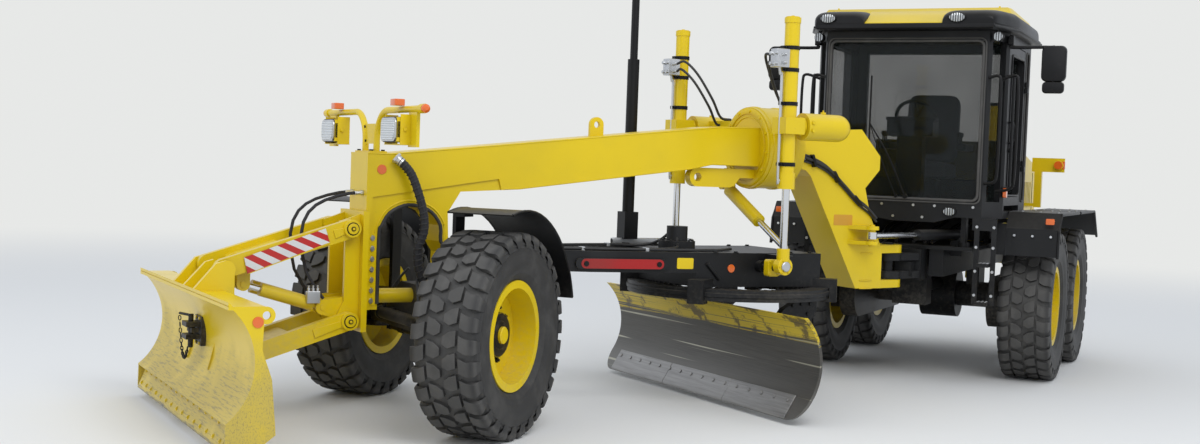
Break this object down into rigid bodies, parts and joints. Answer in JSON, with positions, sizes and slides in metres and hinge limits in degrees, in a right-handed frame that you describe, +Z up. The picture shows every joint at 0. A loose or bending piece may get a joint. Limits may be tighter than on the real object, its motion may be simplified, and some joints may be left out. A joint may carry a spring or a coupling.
{
  "type": "motor grader",
  "caption": "Articulated motor grader with an open-beam front frame, circle-mounted grading blade, front dozer blade and a cab, parked in crab steering",
  "frame": {"origin": "the point on the ground under the middle of the whole machine's bounding box in the parked pose", "axes": "+X forward along the rear frame, +Y to its left, +Z up; the front frame is turned to the right of +X"},
  "size_m": [9.5744, 5.6965, 3.4399],
  "materials": {
    "yellow_paint": "gloss paint over steel",
    "grey_paint": "satin paint over steel",
    "black_paint": "satin paint over steel",
    "polished_rod": "hard chrome plated rod",
    "bare_steel": "machined steel",
    "tyre_rubber": "treaded rubber",
    "pane": "clear safety glass",
    "seat_cloth": "woven cover",
    "plastic": "moulded plastic",
    "iron": "cast and machined"
  },
  "bodies": {
    "rear_frame": {"rear_frame": "grey_paint", "tandem_axle": "grey_paint", "engine_block": "iron", "engine_hood": "yellow_paint", "rear_bumper": "yellow_paint", "cab_mounts": "black_paint", "cab_base": "grey_paint", "cab_shell": "grey_paint", "cab_roof": "grey_paint", "cab_glass": "pane", "seat": "seat_cloth", "console": "plastic", "mudguards": "grey_paint", "steps": "grey_paint", "fuel_tank": "grey_paint", "mirrors": "plastic"},
    "cab_door": {"cab_door": "grey_paint", "door_glass": "pane"},
    "front_frame": {"goose_neck": "yellow_paint", "front_frame": "yellow_paint", "saddle": "yellow_paint", "front_axle": "grey_paint", "lamp_frame": "yellow_paint", "hoses": "tyre_rubber"},
    "drawbar": {"drawbar": "grey_paint", "sensor_mast": "black_paint"},
    "wheel_rear_left_1": {"tyre_rear_left_1": "tyre_rubber", "rim_rear_left_1": "yellow_paint"},
    "wheel_rear_right_1": {"tyre_rear_right_1": "tyre_rubber", "rim_rear_right_1": "yellow_paint"},
    "wheel_rear_left_2": {"tyre_rear_left_2": "tyre_rubber", "rim_rear_left_2": "yellow_paint"},
    "wheel_rear_right_2": {"tyre_rear_right_2": "tyre_rubber", "rim_rear_right_2": "yellow_paint"},
    "wheel_front_left": {"tyre_front_left": "tyre_rubber", "rim_front_left": "yellow_paint"},
    "wheel_front_right": {"tyre_front_right": "tyre_rubber", "rim_front_right": "yellow_paint"},
    "knuckle_left": {"knuckle_left": "black_paint"},
    "knuckle_right": {"knuckle_right": "black_paint"},
    "tie_rod": {"tie_rod": "black_paint"},
    "ball_seat": {"ball_seat": "bare_steel"},
    "circle_ring": {"circle_ring": "grey_paint"},
    "blade_carrier": {"blade_carrier": "grey_paint"},
    "grading_blade": {"grading_blade": "yellow_paint"},
    "lift_barrel_left": {"lift_barrel_left": "yellow_paint"},
    "lift_rod_left": {"lift_rod_left": "polished_rod"},
    "lift_barrel_right": {"lift_barrel_right": "yellow_paint"},
    "lift_rod_right": {"lift_rod_right": "polished_rod"},
    "shift_barrel": {"shift_barrel": "yellow_paint"},
    "shift_rod": {"shift_rod": "polished_rod"},
    "artic_barrel_left": {"artic_barrel_left": "grey_paint"},
    "artic_rod_left": {"artic_rod_left": "polished_rod"},
    "artic_barrel_right": {"artic_barrel_right": "grey_paint"},
    "artic_rod_right": {"artic_rod_right": "polished_rod"},
    "dozer_arms": {"dozer_arms": "yellow_paint"},
    "dozer_links": {"dozer_links": "yellow_paint"},
    "dozer_blade": {"dozer_blade": "yellow_paint"},
    "dozer_barrels": {"dozer_barrels": "yellow_paint"},
    "dozer_rods": {"dozer_rods": "polished_rod"}
  },
  "joints": [
    {"name": "articulation", "type": "hinge", "parent": "rear_frame", "child": "front_frame", "pos_m": [-0.60317, 1.57054, 1], "axis": [0, 0, 1], "range_deg": [-1.8, 74.2]},
    {"name": "steer_left", "type": "hinge", "parent": "front_frame", "child": "knuckle_left", "pos_m": [3.21545, -0.17093, 0.66], "axis": [0, 0, 1], "range_deg": [-80.8, 3.2]},
    {"name": "steer_right", "type": "hinge", "parent": "front_frame", "child": "knuckle_right", "pos_m": [2.21142, -1.54277, 0.66], "axis": [0, 0, 1], "range_deg": [-80.8, 3.2]},
    {"name": "tie_rod_swing", "type": "hinge", "parent": "knuckle_left", "child": "tie_rod", "pos_m": [3.04562, -0.17864, 0.49], "axis": [0, 0, 1], "range_deg": [-3.3, 80.9]},
    {"name": "roll_front_left", "type": "hinge", "parent": "knuckle_left", "child": "wheel_front_left", "pos_m": [3.20932, -0.03607, 0.66], "axis": [-0.0454, 0.999, 0], "continuous": true},
    {"name": "roll_front_right", "type": "hinge", "parent": "knuckle_right", "child": "wheel_front_right", "pos_m": [2.21754, -1.67763, 0.66], "axis": [-0.0454, 0.999, 0], "continuous": true},
    {"name": "roll_rear_left_1", "type": "hinge", "parent": "rear_frame", "child": "wheel_rear_left_1", "pos_m": [-2.11317, 2.55554, 0.66], "axis": [0, 1, 0], "continuous": true},
    {"name": "roll_rear_right_1", "type": "hinge", "parent": "rear_frame", "child": "wheel_rear_right_1", "pos_m": [-2.11317, 0.58554, 0.66], "axis": [0, 1, 0], "continuous": true},
    {"name": "roll_rear_left_2", "type": "hinge", "parent": "rear_frame", "child": "wheel_rear_left_2", "pos_m": [-3.66317, 2.55554, 0.66], "axis": [0, 1, 0], "continuous": true},
    {"name": "roll_rear_right_2", "type": "hinge", "parent": "rear_frame", "child": "wheel_rear_right_2", "pos_m": [-3.66317, 0.58554, 0.66], "axis": [0, 1, 0], "continuous": true},
    {"name": "drawbar_yaw", "type": "hinge", "parent": "front_frame", "child": "ball_seat", "pos_m": [2.45521, -0.66785, 1.07], "axis": [0, 0, 1], "range_deg": [-8, 8]},
    {"name": "drawbar_lift", "type": "hinge", "parent": "ball_seat", "child": "drawbar", "pos_m": [2.45521, -0.66785, 1.07], "axis": [0.5906, 0.807, 0], "range_deg": [-12, 10]},
    {"name": "circle_turn", "type": "hinge", "parent": "drawbar", "child": "circle_ring", "pos_m": [0.67182, 0.63738, 0.85], "axis": [0, 0, 1], "continuous": true},
    {"name": "blade_pitch", "type": "hinge", "parent": "circle_ring", "child": "blade_carrier", "pos_m": [0.60727, 0.68463, 0.3], "axis": [0.5906, 0.807, 0], "range_deg": [-3, 35]},
    {"name": "blade_shift", "type": "slide", "parent": "blade_carrier", "child": "grading_blade", "axis": [0.5906, 0.807, 0], "range_m": [-0.5, 0.5]},
    {"name": "lift_swing_left", "type": "hinge", "parent": "front_frame", "child": "lift_barrel_left", "pos_m": [1.13899, 1.22489, 2.1], "axis": [0.807, -0.5906, 0], "range_deg": [-17.11, 17.11]},
    {"name": "lift_stroke_left", "type": "slide", "parent": "lift_barrel_left", "child": "lift_rod_left", "axis": [0, 0, 1], "range_m": [-0.45858, 0.38248]},
    {"name": "lift_swing_right", "type": "hinge", "parent": "front_frame", "child": "lift_barrel_right", "pos_m": [0.25308, 0.01444, 2.1], "axis": [0.807, -0.5906, 0], "range_deg": [-17.11, 17.11]},
    {"name": "lift_stroke_right", "type": "slide", "parent": "lift_barrel_right", "child": "lift_rod_right", "axis": [0, 0, 1], "range_m": [-0.45858, 0.38248]},
    {"name": "shift_swing", "type": "hinge", "parent": "front_frame", "child": "shift_barrel", "pos_m": [0.50125, 0.51438, 1.65], "axis": [0.807, -0.5906, 0], "range_deg": [-29.86, 24.9]},
    {"name": "shift_stroke", "type": "slide", "parent": "shift_barrel", "child": "shift_rod", "axis": [0.5205, 0.7112, -0.4725], "range_m": [-0.08054, 0.09625]},
    {"name": "artic_swing_left", "type": "hinge", "parent": "rear_frame", "child": "artic_barrel_left", "pos_m": [-1.34317, 2.00054, 1.285], "axis": [0, 0, 1], "range_deg": [-0.7, 24.88]},
    {"name": "artic_stroke_left", "type": "slide", "parent": "artic_barrel_left", "child": "artic_rod_left", "axis": [0.9447, -0.3279, 0], "range_m": [-0.39351, 0.0115]},
    {"name": "artic_swing_right", "type": "hinge", "parent": "rear_frame", "child": "artic_barrel_right", "pos_m": [-1.34317, 1.14054, 1.285], "axis": [0, 0, 1], "range_deg": [-0.64, 22.53]},
    {"name": "artic_stroke_right", "type": "slide", "parent": "artic_barrel_right", "child": "artic_rod_right", "axis": [0.9978, -0.0665, 0], "range_m": [-0.01372, 0.48515]},
    {"name": "dozer_lift", "type": "hinge", "parent": "front_frame", "child": "dozer_arms", "pos_m": [3.20568, -1.21712, 0.675], "axis": [0.5906, 0.807, 0], "range_deg": [-22, 7]},
    {"name": "dozer_link", "type": "hinge", "parent": "front_frame", "child": "dozer_links", "pos_m": [3.20568, -1.21712, 1.285], "axis": [0.5906, 0.807, 0], "range_deg": [-22.1, 7.1]},
    {"name": "dozer_level", "type": "hinge", "parent": "dozer_arms", "child": "dozer_blade", "pos_m": [3.87142, -1.70437, 0.413], "axis": [0.5906, 0.807, 0], "range_deg": [-7.1, 22.1]},
    {"name": "dozer_swing", "type": "hinge", "parent": "front_frame", "child": "dozer_barrels", "pos_m": [3.32672, -1.30571, 0.76], "axis": [0.5906, 0.807, 0], "range_deg": [-19.68, 6.33]},
    {"name": "dozer_stroke", "type": "slide", "parent": "dozer_barrels", "child": "dozer_rods", "axis": [0.7745, -0.5669, 0.2807], "range_m": [-0.06785, 0.20896]},
    {"name": "cab_door", "type": "hinge", "parent": "rear_frame", "child": "cab_door", "pos_m": [-2.00517, 2.41654, 2.25], "axis": [0, 0, 1], "range_deg": [0, 85]}
  ],
  "couplings": [
    {"joint": "steer_right", "follows": "steer_left", "ratio": 1},
    {"joint": "tie_rod_swing", "follows": "steer_left", "ratio": -1},
    {"joint": "lift_swing_left", "follows": "drawbar_yaw", "ratio": -2.1268},
    {"joint": "lift_stroke_left", "follows": "drawbar_lift", "m_per_rad": 2.18},
    {"joint": "lift_swing_right", "follows": "drawbar_yaw", "ratio": -2.1268},
    {"joint": "lift_stroke_right", "follows": "drawbar_lift", "m_per_rad": 2.18},
    {"joint": "shift_swing", "follows": "drawbar_lift", "ratio": 2.48},
    {"joint": "shift_stroke", "follows": "drawbar_lift", "m_per_rad": -0.45},
    {"joint": "artic_swing_left", "follows": "articulation", "ratio": 0.33393},
    {"joint": "artic_stroke_left", "follows": "articulation", "m_per_rad": -0.30232},
    {"joint": "artic_swing_right", "follows": "articulation", "ratio": 0.30232},
    {"joint": "artic_stroke_right", "follows": "articulation", "m_per_rad": 0.37308},
    {"joint": "dozer_link", "follows": "dozer_lift", "ratio": 1},
    {"joint": "dozer_level", "follows": "dozer_lift", "ratio": -1},
    {"joint": "dozer_swing", "follows": "dozer_lift", "ratio": 0.89023},
    {"joint": "dozer_stroke", "follows": "dozer_lift", "m_per_rad": -0.53899}
  ]
}
